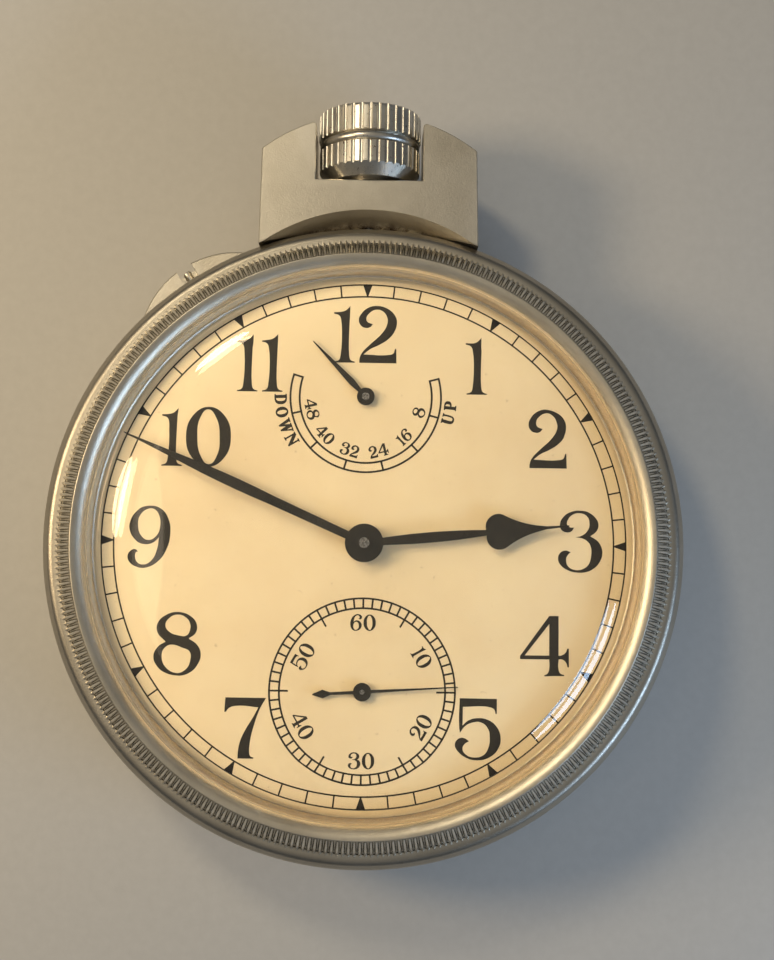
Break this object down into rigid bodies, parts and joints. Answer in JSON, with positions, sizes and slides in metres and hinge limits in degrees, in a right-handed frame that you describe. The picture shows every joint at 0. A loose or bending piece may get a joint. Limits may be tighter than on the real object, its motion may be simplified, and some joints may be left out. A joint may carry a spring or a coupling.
{
  "type": "deck watch",
  "caption": "Open-faced deck watch with sub-seconds and an up-and-down indicator, guarded crown, hand-setting pin, milled screwed bezel and back, and full movement.",
  "frame": {"origin": "on the dial axis, on the flat of the back that the watch lies on", "axes": "+Z out of the dial, +Y towards 12 o'clock and the crown, +X towards 3 o'clock"},
  "size_m": [0.0706, 0.0841, 0.0232],
  "materials": {
    "nickel_case": "fine bead-blasted nickel silver, lightly worn",
    "polished_nickel": "polished nickel, worn",
    "crystal": "clear acrylic crystal",
    "dial": "matt silvered dial with black print",
    "hands": "dark blued steel",
    "steel": "polished steel",
    "brass": "gilt brass",
    "plate": "nickel-plated brass with fine graining",
    "ruby": "polished ruby",
    "washer": "matt sealing washer",
    "spring_steel": "blued spring steel"
  },
  "bodies": {
    "case": {"case_band": "nickel_case", "crown_guard": "nickel_case", "pendant_sleeve": "nickel_case", "dial": "dial", "main_plate": "plate", "barrel_bridge": "plate", "train_bridge": "plate", "balance_cock": "plate", "pallet_bridge": "plate", "plate_jewels": "ruby", "bridge_jewels": "ruby", "cap_jewel": "ruby", "bridge_screws": "steel", "case_screws": "steel", "click_spring": "spring_steel", "hairspring": "spring_steel"},
    "bezel_washer": {"bezel_gasket": "washer"},
    "bezel_ring": {"bezel": "nickel_case", "crystal": "crystal"},
    "back_washer": {"back_gasket": "washer"},
    "back_cover": {"case_back": "nickel_case"},
    "winding_crown": {"crown": "polished_nickel", "stem": "steel", "winding_pinion": "steel"},
    "sliding_clutch": {"clutch": "steel"},
    "set_pin": {"setting_pin": "polished_nickel"},
    "set_lever": {"setting_lever": "steel"},
    "yoke": {"clutch_lever": "steel"},
    "centre_arbor": {"centre_wheel": "brass", "cannon_pinion": "steel", "minute_hand": "hands"},
    "hour_pipe": {"hour_wheel": "brass", "hour_hand": "hands"},
    "minute_work": {"minute_wheel": "brass"},
    "setting_wheel_1": {"setting_wheel": "brass"},
    "setting_wheel_2": {"setting_transfer_wheel": "brass"},
    "third_arbor": {"third_wheel": "brass"},
    "fourth_arbor": {"fourth_wheel": "brass", "seconds_hand": "hands"},
    "escape_arbor": {"escape_wheel": "steel"},
    "barrel": {"barrel_drum": "plate", "barrel_cover": "plate", "mainspring": "spring_steel"},
    "crown_wheel_arbor": {"crown_wheel": "steel", "winding_wheel": "steel", "crown_wheel_screw": "steel"},
    "ratchet_arbor": {"ratchet_wheel": "steel", "barrel_arbor": "steel", "ratchet_screw": "steel"},
    "idler_arbor": {"indicator_idler": "brass"},
    "indicator_arbor": {"indicator_wheel": "brass", "updown_hand": "hands"},
    "pawl": {"click": "steel"},
    "lever": {"pallet_fork": "steel", "pallet_stones": "ruby"},
    "balance": {"balance_wheel": "brass", "balance_screws": "steel", "balance_staff": "steel"},
    "index": {"regulator": "steel"}
  },
  "joints": [
    {"name": "bezel_lift", "type": "slide", "parent": "case", "child": "bezel_washer", "axis": [0, 0, 1], "range_m": [0, 0.002]},
    {"name": "bezel_unscrew", "type": "hinge", "parent": "bezel_washer", "child": "bezel_ring", "pos_m": [0, 0, 0], "axis": [0, 0, 1], "range_deg": [0, 1440]},
    {"name": "back_lift", "type": "slide", "parent": "case", "child": "back_washer", "axis": [0, 0, -1], "range_m": [0, 0.002]},
    {"name": "back_unscrew", "type": "hinge", "parent": "back_washer", "child": "back_cover", "pos_m": [0, 0, 0], "axis": [0, 0, -1], "range_deg": [0, 1440]},
    {"name": "crown_winding", "type": "hinge", "parent": "case", "child": "winding_crown", "pos_m": [0, 0, 0.011], "axis": [0, -1, 0], "range_deg": [0, 6300]},
    {"name": "crown_wheel_turn", "type": "hinge", "parent": "case", "child": "crown_wheel_arbor", "pos_m": [0, 0.02, 0], "axis": [0, 0, 1], "range_deg": [-3781, 0]},
    {"name": "ratchet_turn", "type": "hinge", "parent": "case", "child": "ratchet_arbor", "pos_m": [0.01194, 0.00836, 0], "axis": [0, 0, 1], "range_deg": [0, 2521]},
    {"name": "idler_turn", "type": "hinge", "parent": "case", "child": "idler_arbor", "pos_m": [0.00749, 0.01402, 0], "axis": [0, 0, 1], "range_deg": [-505, 0]},
    {"name": "indicator_turn", "type": "hinge", "parent": "case", "child": "indicator_arbor", "pos_m": [-0.00005, 0.0158, 0], "axis": [0, 0, 1], "range_deg": [0, 240.5]},
    {"name": "set_pin_press", "type": "slide", "parent": "case", "child": "set_pin", "axis": [0.5592, -0.829, 0], "range_m": [0, 0.0012], "stiffness_N_per_m": 800, "springref_m": -0.0005},
    {"name": "set_lever_turn", "type": "hinge", "parent": "case", "child": "set_lever", "pos_m": [-0.0086, 0.0232, 0], "axis": [0, 0, 1], "range_deg": [0, 11.5]},
    {"name": "yoke_turn", "type": "hinge", "parent": "case", "child": "yoke", "pos_m": [-0.0039, 0.0229, 0], "axis": [0, 0, 1], "range_deg": [-20, 0]},
    {"name": "clutch_slide", "type": "slide", "parent": "winding_crown", "child": "sliding_clutch", "axis": [0, -1, 0], "range_m": [0, 0.00085]},
    {"name": "minute_turn", "type": "hinge", "parent": "case", "child": "centre_arbor", "pos_m": [0, 0, 0], "axis": [0, 0, -1], "continuous": true},
    {"name": "hour_turn", "type": "hinge", "parent": "case", "child": "hour_pipe", "pos_m": [0, 0, 0], "axis": [0, 0, -1], "continuous": true},
    {"name": "minute_wheel_turn", "type": "hinge", "parent": "case", "child": "minute_work", "pos_m": [-0.00203, 0.00435, 0], "axis": [0, 0, -1], "continuous": true},
    {"name": "setting_wheel_turn", "type": "hinge", "parent": "case", "child": "setting_wheel_1", "pos_m": [-0.00307, 0.01026, 0], "axis": [0, 0, -1], "continuous": true},
    {"name": "setting_transfer_turn", "type": "hinge", "parent": "case", "child": "setting_wheel_2", "pos_m": [-0.00349, 0.01504, 0], "axis": [0, 0, -1], "continuous": true},
    {"name": "third_turn", "type": "hinge", "parent": "case", "child": "third_arbor", "pos_m": [0.00964, -0.00812, 0], "axis": [0, 0, -1], "continuous": true},
    {"name": "fourth_turn", "type": "hinge", "parent": "case", "child": "fourth_arbor", "pos_m": [0, -0.0158, 0], "axis": [0, 0, -1], "continuous": true},
    {"name": "escape_turn", "type": "hinge", "parent": "case", "child": "escape_arbor", "pos_m": [-0.00798, -0.01208, 0], "axis": [0, 0, -1], "continuous": true},
    {"name": "barrel_turn", "type": "hinge", "parent": "case", "child": "barrel", "pos_m": [0.01194, 0.00836, 0], "axis": [0, 0, -1], "continuous": true},
    {"name": "pawl_lift", "type": "hinge", "parent": "case", "child": "pawl", "pos_m": [0.02318, 0.00312, 0], "axis": [0, 0, -1], "range_deg": [0, 6], "stiffness_Nm_per_rad": 0.0002, "springref_deg": -5.73},
    {"name": "lever_swing", "type": "hinge", "parent": "case", "child": "lever", "pos_m": [-0.0115, -0.00912, 0], "axis": [0, 0, 1], "range_deg": [-4, 4]},
    {"name": "balance_swing", "type": "hinge", "parent": "case", "child": "balance", "pos_m": [-0.01594, -0.0054, 0], "axis": [0, 0, 1], "range_deg": [-270, 270], "stiffness_Nm_per_rad": 0.0000052},
    {"name": "index_turn", "type": "hinge", "parent": "case", "child": "index", "pos_m": [-0.01594, -0.0054, 0], "axis": [0, 0, 1], "range_deg": [-12, 12]}
  ],
  "couplings": [
    {"joint": "bezel_lift", "follows": "bezel_unscrew", "m_per_rad": 0.000079577},
    {"joint": "back_lift", "follows": "back_unscrew", "m_per_rad": 0.000079577},
    {"joint": "crown_wheel_turn", "follows": "crown_winding", "ratio": -0.6},
    {"joint": "ratchet_turn", "follows": "crown_winding", "ratio": 0.4},
    {"joint": "idler_turn", "follows": "crown_winding", "ratio": -0.08},
    {"joint": "indicator_turn", "follows": "crown_winding", "ratio": 0.038095},
    {"joint": "set_lever_turn", "follows": "set_pin_press", "rad_per_m": 165},
    {"joint": "yoke_turn", "follows": "set_pin_press", "rad_per_m": -283},
    {"joint": "clutch_slide", "follows": "set_pin_press", "ratio": 0.66667},
    {"joint": "hour_turn", "follows": "minute_turn", "ratio": 0.083333},
    {"joint": "minute_wheel_turn", "follows": "minute_turn", "ratio": -0.33333},
    {"joint": "setting_wheel_turn", "follows": "minute_turn", "ratio": 0.5},
    {"joint": "setting_transfer_turn", "follows": "minute_turn", "ratio": -0.5},
    {"joint": "third_turn", "follows": "minute_turn", "ratio": -8},
    {"joint": "fourth_turn", "follows": "minute_turn", "ratio": 60},
    {"joint": "escape_turn", "follows": "minute_turn", "ratio": -600},
    {"joint": "barrel_turn", "follows": "minute_turn", "ratio": -0.125}
  ]
}
